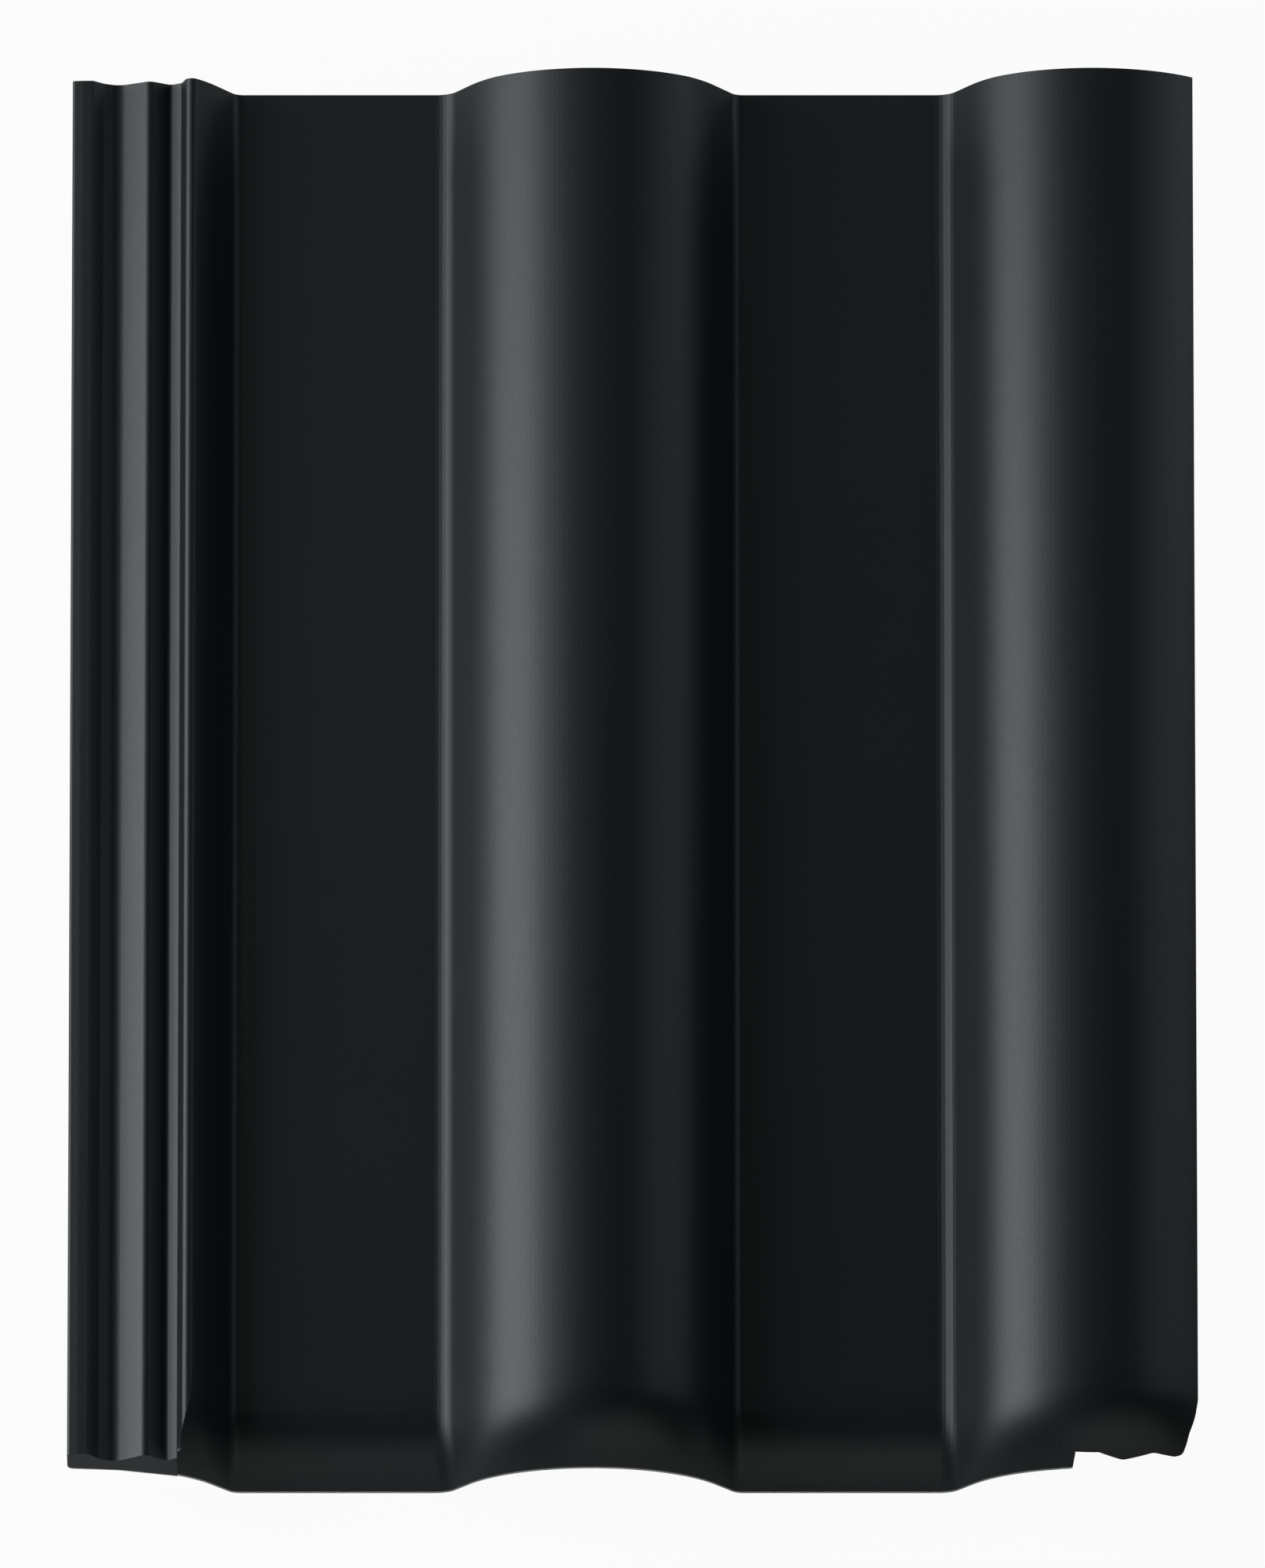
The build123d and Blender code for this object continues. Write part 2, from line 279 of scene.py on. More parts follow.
@dataclass
class TileSection:
    """Cross-section of the tile, in millimetres, with its rolls, channels and lip.

    The pans' top is at height zero. Points are a place across, a height and a rounding: those of
    the channels and of the underside next to them count from the left edge, those of the lip from
    its root, and those of the lip's edge inwards and down from the roll's top at the right edge.
    """

    width: float = 330.0
    crest: float = 31.5
    half_base: float = 42.2
    lean: float = math.radians(60.0)
    step_turn: float = math.radians(42.9)
    lip_turn: float = math.radians(45.2)
    pan_floor: float = -12.0
    crest_under: float = 18.5
    flank_thickness: float = 10.0
    channel_points: tuple[Corner, ...] = (
        (0.0, 15.4, 0.9),
        (3.0, 15.75, 9.0),
        (6.0, 15.8, 0.8),
        (9.3, 12.5, 4.0),
        (13.7, 10.3, 4.5),
        (22.8, 15.3, 2.4),
        (28.9, 11.2, 1.6),
        (32.1, 13.2, 0.8),
    )
    wall_height: float = 15.8
    under_points: tuple[Corner, ...] = ((0.0, 5.6, 2.0), (15.0, 4.4, 8.0))
    root_height: float = -1.0
    root_rounding: float = 4.0
    step_across: float = 34.2
    lip_shift: float = 294.2
    lip_points: tuple[Corner, ...] = (
        (0.0, 19.7, 0.0),
        (6.8, 19.7, 0.8),
        (13.7, 15.3, 2.4),
        (22.8, 17.5, 2.4),
        (28.9, 13.4, 1.6),
    )
    lip_edge_points: tuple[Corner, ...] = ((4.9, 5.9, 1.2), (2.5, 1.7, 0.8))
    lip_edge_height: float = 0.5
    left_foot_rounding: float = 7.0
    right_foot_rounding: float = 4.0
    step_rounding: float = 2.0
    edge_rounding: float = 0.3
    corner_rounding: float = 1.5
    wall_draft: float = 0.8
    arc_step: float = math.radians(2.0)

    def __post_init__(self) -> None:
        """Works out the radii and the crests."""
        self.left = -self.width / 2
        self.right = self.width / 2
        wall_across = self.flank_thickness / math.sin(self.lean)
        self.under_half_base = self.half_base - wall_across - self.pan_floor / math.tan(self.lean)
        self.radius = self._radius(self.crest, self.half_base)
        self.under_radius = self._radius(self.crest_under - self.pan_floor, self.under_half_base)
        self.left_crest = self.left + self.step_across - self.radius * math.sin(self.step_turn)
        self.right_crest = self.right - self.radius * math.sin(self.lip_turn)
        self.middle_crest = (self.left_crest + self.right_crest) / 2
        self.step_foot = self.left + self.channel_points[-1][0]
        self.lip_root = self.left + self.lip_shift

    def _radius(self, rise: float, half_base: float) -> float:
        """Radius of the arc that runs smoothly into both straight flanks of a roll."""
        arc_part = math.sin(self.lean) - (1 - math.cos(self.lean)) / math.tan(self.lean)
        return (half_base - rise / math.tan(self.lean)) / arc_part

    def _arc(self, crest: float, top: float, radius: float, start: float, stop: float) -> list[Point]:
        """Finds points on a roll's arc.

        Args:
            crest: Place of the roll's crest across the tile.
            top: Height of the crest.
            radius: Radius of the arc.
            start: Turn from the crest where the arc starts.
            stop: Turn where it stops.

        Returns:
            The points, from the start to the stop.
        """
        count = max(2, round(abs(stop - start) / self.arc_step))
        turns = [start + (stop - start) * i / count for i in range(count + 1)]
        return [(crest + radius * math.sin(t), top - radius * (1 - math.cos(t))) for t in turns]

    def shell(self, across: float) -> float:
        """Finds the height of the rolls' top, without the channels, the lip or any rounding.

        Args:
            across: The place across the tile.

        Returns:
            The height above the pans.
        """
        crests = (self.left_crest, self.middle_crest, self.right_crest)
        offset = min(abs(across - crest) for crest in crests)
        if offset <= self.radius * math.sin(self.lean):
            return self.crest - self.radius + math.sqrt(self.radius ** 2 - offset ** 2)
        return max(0.0, (self.half_base - offset) * math.tan(self.lean))

    def corner(self, across: float) -> float:
        """Rise of the underside where the corner next to the lip's root is rounded."""
        offset = max(0.0, across - self.lip_root + self.corner_rounding)
        return self.corner_rounding - math.sqrt(max(0.0, self.corner_rounding ** 2 - offset ** 2))

    def draft(self, across: float) -> float:
        """Sideways shift of the lower edge where the wall next to the lip's root leans."""
        return self.wall_draft * min(1.0, max(0.0, across - self.lip_root + 3 * self.corner_rounding))

    def _rolls(self, top: float, base: float, half_base: float, radius: float, stop: float) -> list[Any]:
        """Finds the points from the left roll's foot over the middle roll to the right roll.

        Args:
            top: Height of the crests.
            base: Height of the pans between them.
            half_base: Distance from a crest to the foot of its flank.
            radius: Radius of the rolls.
            stop: Place on the right roll where the points stop.

        Returns:
            The points, with a rounding at the feet.
        """
        shoulder = self.lean
        stop_turn = math.asin((stop - self.right_crest) / radius)
        right_foot, left_foot = self.right_foot_rounding, self.left_foot_rounding
        points: list[Any] = [
            (self.left_crest + half_base, base, right_foot),
            (self.middle_crest - half_base, base, left_foot),
        ]
        points += self._arc(self.middle_crest, top, radius, -shoulder, shoulder)
        points += [
            (self.middle_crest + half_base, base, right_foot),
            (self.right_crest - half_base, base, left_foot),
        ]
        points += self._arc(self.right_crest, top, radius, -shoulder, stop_turn)
        return points

    def top_line(self) -> list[Point]:
        """Draws the rounded upper outline, from the left edge to the right one.

        Returns:
            The places of the outline.
        """
        points: list[Any] = [(self.left, 0.0)]
        points += [(self.left + x, z, r) for x, z, r in self.channel_points]
        arc = self._arc(self.left_crest, self.crest, self.radius, self.step_turn, self.lean)
        points += [(*arc[0], self.step_rounding), *arc[1:]]
        points += self._rolls(self.crest, 0.0, self.half_base, self.radius, self.right)
        points[-1] = (*points[-1], self.edge_rounding)
        points.append((self.right, self.shell(self.right) - self.lip_edge_height))
        return round_corners(points)

    def under_line(self) -> list[Point]:
        """Draws the rounded lower outline of the channels and the body, up to the lip.

        Returns:
            The places of the outline.
        """
        foot = self.left_crest + self.under_half_base
        root = foot - (self.root_height - self.pan_floor) / math.tan(self.lean)
        points: list[Any] = [(self.left, self.crest)]
        points += [(self.left + x, z, r) for x, z, r in self.under_points]
        points.append((root, self.root_height, self.root_rounding))
        points += self._rolls(
            self.crest_under, self.pan_floor, self.under_half_base, self.under_radius, self.lip_root
        )
        return round_corners(points)

    def lip_line(self) -> list[Point]:
        """Draws the rounded lower outline of the lip, which repeats the channels a little higher.

        Returns:
            The places of the outline.
        """
        edge = self.shell(self.right)
        points: list[Any] = [(self.lip_root + x, z, r) for x, z, r in self.lip_points]
        points[0] = points[0][:2]
        points += [(self.right - x, edge - z, r) for x, z, r in self.lip_edge_points]
        points.append((self.right, edge - self.lip_edge_height))
        return round_corners(points)


def walk(points: list[Point], start: int, step: int, length: float) -> tuple[Point, int]:
    """Goes along an outline from a corner.

    Args:
        points: The outline.
        start: Number of the corner.
        step: One to go forwards, minus one to go back.
        length: Straight distance from the corner.

    Returns:
        The place reached, and the number of the last point that was passed.
    """
    corner = Vector(points[start])
    last = start
    while 0 <= last + step < len(points) and (Vector(points[last + step]) - corner).length < length:
        last += step
    if not 0 <= last + step < len(points):
        return points[last], last
    near = Vector(points[last])
    far = Vector(points[last + step])
    near_off = (near - corner).length
    far_off = (far - corner).length
    share = (length - near_off) / (far_off - near_off)
    return tuple(near.lerp(far, share)), last


def round_corners(points: list[Any], arc_step: float = math.radians(10.0)) -> list[Point]:
    """Rounds the corners of an outline.

    Args:
        points: Places, with a third number where the corner is rounded to a radius.
        arc_step: The largest turn between two points of a rounding.

    Returns:
        The places of the rounded outline.
    """
    flat = [tuple(p[:2]) for p in points]
    result: list[Point] = []
    skip_to = 0
    for index, point in enumerate(points):
        if len(point) == 2:
            if index >= skip_to:
                result.append(flat[index])
            continue
        corner = Vector(flat[index])
        back = (Vector(flat[index - 1]) - corner).normalized()
        ahead = (Vector(flat[index + 1]) - corner).normalized()
        half = back.angle(ahead) / 2
        reach = point[2] / math.tan(half)
        before, first = walk(flat, index, -1, reach)
        after, last = walk(flat, index, 1, reach)
        while result and (Vector(result[-1]) - corner).length < reach:
            result.pop()
        back = (Vector(before) - corner).normalized()
        ahead = (Vector(after) - corner).normalized()
        half = back.angle(ahead) / 2
        centre = corner + (back + ahead).normalized() * (reach / math.cos(half))
        start = Vector(before) - centre
        turn = start.angle_signed(Vector(after) - centre)
        count = max(3, math.ceil(abs(turn) / arc_step))
        for i in range(count + 1):
            spot = centre + Matrix.Rotation(-turn * i / count, 2) @ start
            result.append((spot.x, spot.y))
        skip_to = last + 1
    return result


def height_at(line: list[Point], across: float) -> float:
    """Finds the height of an outline at a place across the tile.

    Args:
        line: The places of the outline.
        across: The place across the tile.

    Returns:
        The height, between the points on both sides of the place.
    """
    for (x0, z0), (x1, z1) in zip(line, line[1:]):
        if x0 <= across <= x1:
            if x1 - x0 < TINY:
                return z1
            return z0 + (z1 - z0) * (across - x0) / (x1 - x0)
    return line[0][1] if across < line[0][0] else line[-1][1]


class Zone(enum.Enum):
    """The three strips of the tile, which end differently at the front."""

    CHANNELS = "channels"
    BODY = "body"
    LIP = "lip"


@dataclass
class FrontEdge:
    """The rounded front edge and what hangs behind it, in millimetres.

    The rounding is a smooth curve from start_slope to end_slope over its run and drop, and blend
    is how far before and behind its start the flat top turns into it. The rim hangs under the
    front edge, and the weather bar hangs behind the rim. The lip's underside is relieved towards
    the front, and the channels end in a slanted face of their own.
    """

    length: float = 420.0
    run: float = 21.4
    drop: float = 14.2
    blend: float = 8.0
    start_slope: float = math.tan(math.radians(7.0))
    end_slope: float = math.tan(math.radians(57.0))
    edge_height: float = 2.0
    rim_width: float = 12.0
    bar_gap: float = 16.0
    bar_width: float = 7.0
    bar_depth: float = 3.0
    pan_thickness: float = 12.0
    relief_start: float = 16.2
    channel_inset: float = 4.2
    channel_slant: float = math.tan(math.radians(11.0))
    # Heights of the bare strip along the channels' and the lip's lower front edge; the strip's light
    # colour is partly a painted highlight of that edge.
    channel_strip: float = 0.9
    lip_strip: float = 0.1
    lip_edge_reach: float = 1.0
    head_slant: float = 0.038
    slant_from: float = 20.0
    nose_rows: int = 26
    nose_crowding: float = 1.3
    row_spacing: float = 1.0
    rows_behind_rim: int = 18
    body_rows: int = 12

    def __post_init__(self) -> None:
        """Works out the places along the tile."""
        self.front = -self.length / 2
        self.back = self.front + self.run
        self.knee = (self.run * self.end_slope - self.drop) / (self.end_slope - self.start_slope)
        self.depth = self.drop + self.edge_height
        self.relief_back = self.back - self.relief_start

    def fall(self, along: Any, root: Callable[[Any], Any], larger: Callable[[Any, float], Any]) -> Any:
        """How far the top has come down at a distance from where the rounding starts.

        Args:
            along: Distance towards the front, a number or a term, negative behind the start.
            root: The square root that suits it.
            larger: The choice of the larger of two values that suits it.

        Returns:
            The fall, of the same kind.
        """
        spread = self.run - 2 * self.knee
        share = (root(larger(along, 0.0) * spread + self.knee ** 2) - self.knee) / spread
        curve = share * (1 - share) * (2 * self.knee * self.start_slope) + share * share * self.drop
        distance = root(along * along)
        near = larger(self.blend - distance, 0.0)
        return curve + near * near * (self.start_slope / (4 * self.blend))

    def lip_end(self, shell: float, under: float) -> float:
        """Finds where the relieved lip has thinned away under the rounding.

        Args:
            shell: Height of the lip's top behind the rounding.
            under: Height of its underside there.

        Returns:
            The place along the tile.
        """
        low, high = 0.0, self.run
        while high - low > TINY:
            middle = (low + high) / 2
            relieved = under + max(0.0, middle - self.relief_start)
            if shell - self.fall(middle, math.sqrt, max) > relieved + self.lip_strip:
                low = middle
            else:
                high = middle
        return self.back - low

    def strip(self, zone: Zone) -> float:
        """Finds the height of the uncoated strip along a zone's lower front edge. Its light concrete
        colour also stands in for that edge's highlight: a painted highlight.

        Args:
            zone: The zone.

        Returns:
            The height.
        """
        strips = {
            Zone.CHANNELS: self.channel_strip,
            Zone.BODY: self.edge_height,
            Zone.LIP: self.lip_strip,
        }
        return strips[zone]

    def rows(self) -> list[Point]:
        """Finds the places along the tile that get a row of points.

        Returns:
            The places, each with the depth that hangs below the top there.
        """
        count = self.nose_rows
        nose = [self.front + self.run * (i / count) ** self.nose_crowding for i in range(count + 1)]
        rim_back = self.front + self.rim_width
        bar_front = rim_back + self.depth - self.pan_thickness + self.bar_gap
        bar_back = bar_front + self.bar_width
        hang = self.pan_thickness + self.bar_depth
        marks = [rim_back, self.relief_back, self.front + self.channel_inset]
        behind = [rim_back + i * self.row_spacing for i in range(1, self.rows_behind_rim + 1)]
        places = sorted(nose + marks + behind)
        rows = [(y, max(0.0, self.depth - max(0.0, y - rim_back))) for y in places]
        rows += [(bar_front, 0.0), (bar_front, hang), (bar_back, hang), (bar_back, 0.0)]
        head = self.length / 2
        count = self.body_rows
        rows += [(bar_back + (head - bar_back) * i / count, 0.0) for i in range(1, count + 1)]
        return rows


@dataclass
class TileBody:
    """The tile itself, swept from its section along the front edge's curve."""

    section: TileSection = field(default_factory=TileSection)
    edge: FrontEdge = field(default_factory=FrontEdge)
    lip_spacing: float = 0.7
    corner_columns: int = 6
    same_place: float = 0.001
    sharp_turn: float = math.radians(32.0)
    weld: float = 0.00002

    COLUMN_VALUES: ClassVar[tuple[str, ...]] = (
        "across",
        "high",
        "low",
        "shell",
        "front_top",
        "front_under",
        "strip",
        "corner",
        "draft",
        "rimmed",
        "relieved",
    )

    def _places(self, lines: list[list[Point]]) -> list[float]:
        """Finds the places across the tile that get a column of points.

        Args:
            lines: The outlines, whose points all get one.

        Returns:
            The places, with more of them at the lip and its root.
        """
        s = self.section
        step = math.pi / 2 / self.corner_columns
        offsets = [1 - math.sin(i * step) for i in range(self.corner_columns)]
        lip_count = int((s.right - s.lip_root) / self.lip_spacing)
        places = [x for line in lines for x, _ in line]
        places += [s.right - i * self.lip_spacing for i in range(lip_count)]
        places += [s.lip_root - s.corner_rounding * offset for offset in offsets]
        return sorted({round(place, 4) for place in places})

    def columns(self) -> list[dict[str, float]]:
        """Finds what the sweep needs to know at each place across the tile.

        Returns:
            The named numbers of each column, from left to right.
        """
        s = self.section
        top, under, lip = s.top_line(), s.under_line(), s.lip_line()
        places = self._places([top, under, lip])
        zones = (
            (Zone.CHANNELS, s.left, s.step_foot, under),
            (Zone.BODY, s.step_foot, s.lip_root, under),
            (Zone.LIP, s.lip_root, s.right, lip),
        )
        result = []
        for zone, start, stop, below in zones:
            inside = [p for p in places if start + self.same_place < p < stop - self.same_place]
            for x in [start, *inside, stop]:
                result.append(self._column(zone, x, height_at(top, x), height_at(below, x)))
        return result

    def _column(self, zone: Zone, across: float, high: float, low: float) -> dict[str, float]:
        """Finds what the sweep needs to know at one place across the tile.

        Args:
            zone: The zone that the place is in.
            across: The place, in millimetres.
            high: Height of the top behind the front edge, in millimetres.
            low: Height of the underside behind the front edge, in millimetres.

        Returns:
            The named numbers, with lengths in metres.
        """
        s, e = self.section, self.edge
        shell = high + e.depth if zone is Zone.CHANNELS else max(s.shell(across), high)
        front_top = front_under = e.front
        if zone is Zone.CHANNELS:
            front_top += e.channel_inset - (s.wall_height - high) * e.channel_slant
            front_under += e.channel_inset - (s.wall_height - low) * e.channel_slant
        if zone is Zone.LIP:
            front_top = front_under = e.lip_end(min(shell, high + e.lip_edge_reach), low)
        lengths = {
            "across": across,
            "high": high,
            "low": low,
            "shell": shell,
            "front_top": front_top,
            "front_under": front_under,
            "strip": e.strip(zone),
            "corner": s.corner(across) if zone is Zone.BODY else 0.0,
            "draft": s.draft(across) if zone is Zone.BODY else 0.0,
        }
        switches = {"rimmed": float(zone is Zone.BODY), "relieved": float(zone is Zone.LIP)}
        return {name: length * MM for name, length in lengths.items()} | switches

    def build(self, coated: bpy.types.Material, bare: bpy.types.Material) -> bpy.types.Mesh:
        """Sweeps the tile with geometry nodes.

        Args:
            coated: Finish of the top, the front edge and the sides.
            bare: Finish of the underside, the head end and the strip along the front edge, where its light
                colour is also a painted highlight of that edge.

        Returns:
            The mesh, lying flat with its pans at height zero.
        """
        columns = self.columns()
        rows = [{"along": y * MM, "hang": depth * MM, "lift": 0.0} for y, depth in self.edge.rows()]
        rows.insert(0, {**rows[0], "lift": 1.0})
        across = table_object("tile columns", columns)
        along = table_object("tile rows", rows)
        host = bpy.data.objects.new("tile host", bpy.data.meshes.new("tile host"))
        bpy.context.scene.collection.objects.link(host)
        tree = TileSweep(self.edge, coated, bare, self.sharp_turn).tree
        modifier = host.modifiers.new("sweep", "NODES")
        modifier.node_group = tree
        values = {
            "Columns": across,
            "Rows": along,
            "Column Count": len(columns),
            "Row Count": len(rows),
            "Front Depth": self.edge.depth * MM,
            "Weld": self.weld,
        }
        for item in tree.interface.items_tree:
            if item.in_out == "INPUT" and item.name in values:
                modifier[item.identifier] = values[item.name]
        bpy.context.view_layer.update()
        evaluated = host.evaluated_get(bpy.context.evaluated_depsgraph_get())
        mesh = bpy.data.meshes.new_from_object(evaluated)
        for helper in (host, across, along):
            bpy.data.objects.remove(helper)
        if mesh.materials[0] is None:
            mesh.materials.pop(index=0)
        return mesh


class TileSweep:
    """The geometry nodes that turn a flat grid into the tile.

    The grid has a point for each column and row. A skin is extruded from it without a height, and
    its upper points go to the tile's top and its lower ones to the underside. The grid itself,
    turned over, closes it from below. Points that meet are merged at the end.
    """

    INPUTS: ClassVar[dict[str, str]] = {
        "Columns": "NodeSocketObject",
        "Rows": "NodeSocketObject",
        "Column Count": "NodeSocketInt",
        "Row Count": "NodeSocketInt",
        "Front Depth": "NodeSocketFloat",
        "Weld": "NodeSocketFloat",
    }
    # A side face on the head end has the last row's number, and one before it half a row less.
    HEAD_MARGIN: ClassVar[float] = 0.25

    def __init__(
        self, edge: FrontEdge, coated: bpy.types.Material, bare: bpy.types.Material, sharp_turn: float
    ) -> None:
        """Builds the tree.

        Args:
            edge: The front edge, whose rules the tree follows.
            coated: Finish of the top, the front edge and the sides.
            bare: Finish of the rest.
            sharp_turn: The turn between two faces from which their edge is sharp.
        """
        self.edge = edge
        self.tree = bpy.data.node_groups.new("tile sweep", "GeometryNodeTree")
        self.maker = NodeMaker(self.tree)
        for name, kind in self.INPUTS.items():
            self.tree.interface.new_socket(name, in_out="INPUT", socket_type=kind)
        self.tree.interface.new_socket("Geometry", in_out="OUTPUT", socket_type="NodeSocketGeometry")
        self.given = self._add("NodeGroupInput").outputs
        self.last_row = self.maker.term(self.given["Row Count"]) - 1
        grid, column, self.row = self._grid()
        self.at = {name: self._look_up("Columns", name, column) for name in TileBody.COLUMN_VALUES}
        self.along = self._look_up("Rows", "along", self.row)
        top, top_height = self._top()
        under = self._under(top_height)
        closed = self._closed(grid, top, under)
        self._add("NodeGroupOutput", {"Geometry": self._finished(closed, coated, bare, sharp_turn)})

    def _add(self, kind: str, values: dict[Any, Any] | None = None, **settings: Any) -> bpy.types.Node:
        """Adds a node to the tree."""
        return self.maker.add(kind, settings, values or {})

    def _grid(self) -> tuple[bpy.types.NodeSocket, Term, Term]:
        """Adds the flat grid.

        Returns:
            Its mesh, and the numbers of each point's column and row.
        """
        last_column = self.maker.term(self.given["Column Count"]) - 1
        counts = {"Vertices X": self.given["Column Count"], "Vertices Y": self.given["Row Count"]}
        grid = self._add("GeometryNodeMeshGrid", {"Size X": last_column, "Size Y": self.last_row} | counts)
        spot = self._add("GeometryNodeInputPosition").outputs[0]
        parts = self._add("ShaderNodeSeparateXYZ", {0: spot}).outputs
        column = self.maker.term(parts["X"]) + last_column * 0.5
        row = self.maker.term(parts["Y"]) + self.last_row * 0.5
        mesh, column = self._capture(grid.outputs["Mesh"], column)
        mesh, row = self._capture(mesh, row)
        return mesh, column, row

    def _capture(self, mesh: bpy.types.NodeSocket, value: Term) -> tuple[bpy.types.NodeSocket, Term]:
        """Keeps a value on the grid's points, so that it stays when they move.

        Args:
            mesh: The grid.
            value: The value, such as the number of a column.

        Returns:
            The grid with the value, and the value as it is kept.
        """
        node = self._add("GeometryNodeCaptureAttribute", domain="POINT")
        node.capture_items.new("FLOAT", "value")
        self.tree.links.new(mesh, node.inputs["Geometry"])
        self.tree.links.new(value.socket, node.inputs["value"])
        return node.outputs["Geometry"], self.maker.term(node.outputs["value"])

    def _look_up(self, owner: str, name: str, number: Term) -> Term:
        """Reads a column's or a row's value.

        Args:
            owner: The input that holds the table.
            name: The value's name in the table.
            number: The number of the column or row.

        Returns:
            The value.
        """
        table = self._add("GeometryNodeObjectInfo", {"Object": self.given[owner]}).outputs["Geometry"]
        value = self._add("GeometryNodeInputNamedAttribute", {"Name": name}, data_type="FLOAT")
        nearest = self._add("ShaderNodeMath", {0: number}, operation="ROUND").outputs[0]
        node = self._add(
            "GeometryNodeSampleIndex",
            {"Geometry": table, "Value": value.outputs["Attribute"], "Index": nearest},
            data_type="FLOAT",
            domain="POINT",
            clamp=True,
        )
        return self.maker.term(node.outputs["Value"])

    def _head(self, height: Term) -> Term:
        """Where the head end stands at a height, because it slants a little over the rolls."""
        slant = (height - self.edge.slant_from * MM).at_least(0.0) * self.edge.head_slant
        return self.edge.length / 2 * MM - slant

    def _top(self) -> tuple[bpy.types.NodeSocket, Term]:
        """Works out where the skin's upper points go.

        Returns:
            Their places, and their heights alone.
        """
        edge, at = self.edge, self.at
        along = self.along.at_least(at["front_top"]).at_most(self._head(at["high"]))
        behind_start = (edge.back * MM - along) * (1 / MM)
        fall = edge.fall(behind_start, Term.root, Term.at_least) * MM
        height = at["high"].at_most(at["shell"] - fall)
        across = at["across"] - at["draft"] * fall * (1 / (edge.drop * MM))
        return self._place(across, along, height), height

    def _under(self, top_height: Term) -> bpy.types.NodeSocket:
        """Works out where the lower points go, with the rim, the weather bar and the relief.

        Args:
            top_height: Heights of the upper points, which the lower ones don't pass.

        Returns:
            The places of the lower points.
        """
        edge, at = self.edge, self.at
        along = self.along.at_least(at["front_under"]).at_most(self._head(at["low"]))
        relief = (edge.relief_back * MM - along).at_least(0.0) * at["relieved"]
        plain = at["low"] + relief
        hung = plain.at_most(at["shell"] - self._look_up("Rows", "hang", self.row))
        depth = self.maker.term(self.given["Front Depth"])
        bevelled = hung.at_least(at["shell"] - depth - (along - edge.front * MM))
        lift = self._look_up("Rows", "lift", self.row)
        # The lifted first row leaves a bare strip on the lower front edge; its light colour is uncoated
        # concrete and partly a painted highlight of that edge.
        height = plain + (bevelled - plain) * at["rimmed"] + at["corner"] + lift * at["strip"]
        return self._place(at["across"] - at["draft"], along, height.at_most(top_height))

    def _place(self, across: Term, along: Term, height: Term) -> bpy.types.NodeSocket:
        """Joins three numbers into a position."""
        return self._add("ShaderNodeCombineXYZ", {"X": across, "Y": along, "Z": height}).outputs[0]

    def _either(self, operation: str, *values: Any) -> bpy.types.NodeSocket:
        """Joins or turns yes-or-no values."""
        node = self._add("FunctionNodeBooleanMath", dict(enumerate(values)), operation=operation)
        return node.outputs[0]

    def _closed(
        self, grid: bpy.types.NodeSocket, top: bpy.types.NodeSocket, under: bpy.types.NodeSocket
    ) -> bpy.types.NodeSocket:
        """Makes the closed surface, and marks the faces that are coated.

        Args:
            grid: The flat grid.
            top: Places of the upper points.
            under: Places of the lower points.

        Returns:
            The surface, with its points merged.
        """
        values = {"Mesh": grid, "Offset Scale": 0.0, "Individual": False}
        skin = self._add("GeometryNodeExtrudeMesh", values, mode="FACES").outputs
        at_head = self.row.above(self.last_row - self.HEAD_MARGIN).socket
        coated = self._either("OR", skin["Top"], self._either("NIMPLY", skin["Side"], at_head))
        marked = self._add(
            "GeometryNodeStoreNamedAttribute",
            {"Geometry": skin["Mesh"], "Name": "coated", "Value": coated},
            data_type="BOOLEAN",
            domain="FACE",
        ).outputs[0]
        lower = self._either("NOT", skin["Top"])
        raised = self._moved(marked, top, skin["Top"])
        wrapped = self._moved(raised, under, lower)
        # The turned-over grid stays bare, and with it the strip on the lower front edge, whose light
        # colour is partly a painted highlight.
        floor = self._moved(self._add("GeometryNodeFlipFaces", {"Mesh": grid}).outputs[0], under)
        join = self._add("GeometryNodeJoinGeometry")
        self.tree.links.new(floor, join.inputs[0])
        self.tree.links.new(wrapped, join.inputs[0])
        merge = {"Geometry": join.outputs[0], "Distance": self.given["Weld"]}
        return self._add("GeometryNodeMergeByDistance", merge).outputs[0]

    def _moved(
        self, mesh: bpy.types.NodeSocket, places: bpy.types.NodeSocket, selection: Any = True
    ) -> bpy.types.NodeSocket:
        """Moves a mesh's points, or those selected, to their places."""
        values = {"Geometry": mesh, "Selection": selection, "Position": places}
        return self._add("GeometryNodeSetPosition", values).outputs[0]

    def _finished(
        self,
        surface: bpy.types.NodeSocket,
        coated: bpy.types.Material,
        bare: bpy.types.Material,
        sharp_turn: float,
    ) -> bpy.types.NodeSocket:
        """Sets how the surface is shaded and finished.

        Args:
            surface: The closed surface.
            coated: Finish of the marked faces.
            bare: Finish of the other faces.
            sharp_turn: The turn between two faces from which their edge is sharp.

        Returns:
            The finished tile.
        """
        turn = self._add("GeometryNodeInputMeshEdgeAngle").outputs["Unsigned Angle"]
        soft = self._add(
            "FunctionNodeCompare", {"A": turn, "B": sharp_turn}, data_type="FLOAT", operation="LESS_THAN"
        ).outputs[0]
        values = {"Geometry": surface, "Shade Smooth": soft}
        shaded = self._add("GeometryNodeSetShadeSmooth", values, domain="EDGE").outputs[0]
        whole = self._add("GeometryNodeRealizeInstances", {"Geometry": shaded}).outputs[0]
        whole = self._add("GeometryNodeSetMaterial", {"Geometry": whole, "Material": bare}).outputs[0]
        marked = self._add("GeometryNodeInputNamedAttribute", {"Name": "coated"}, data_type="BOOLEAN")
        values = {"Geometry": whole, "Selection": marked.outputs["Attribute"], "Material": coated}
        return self._add("GeometryNodeSetMaterial", values).outputs[0]


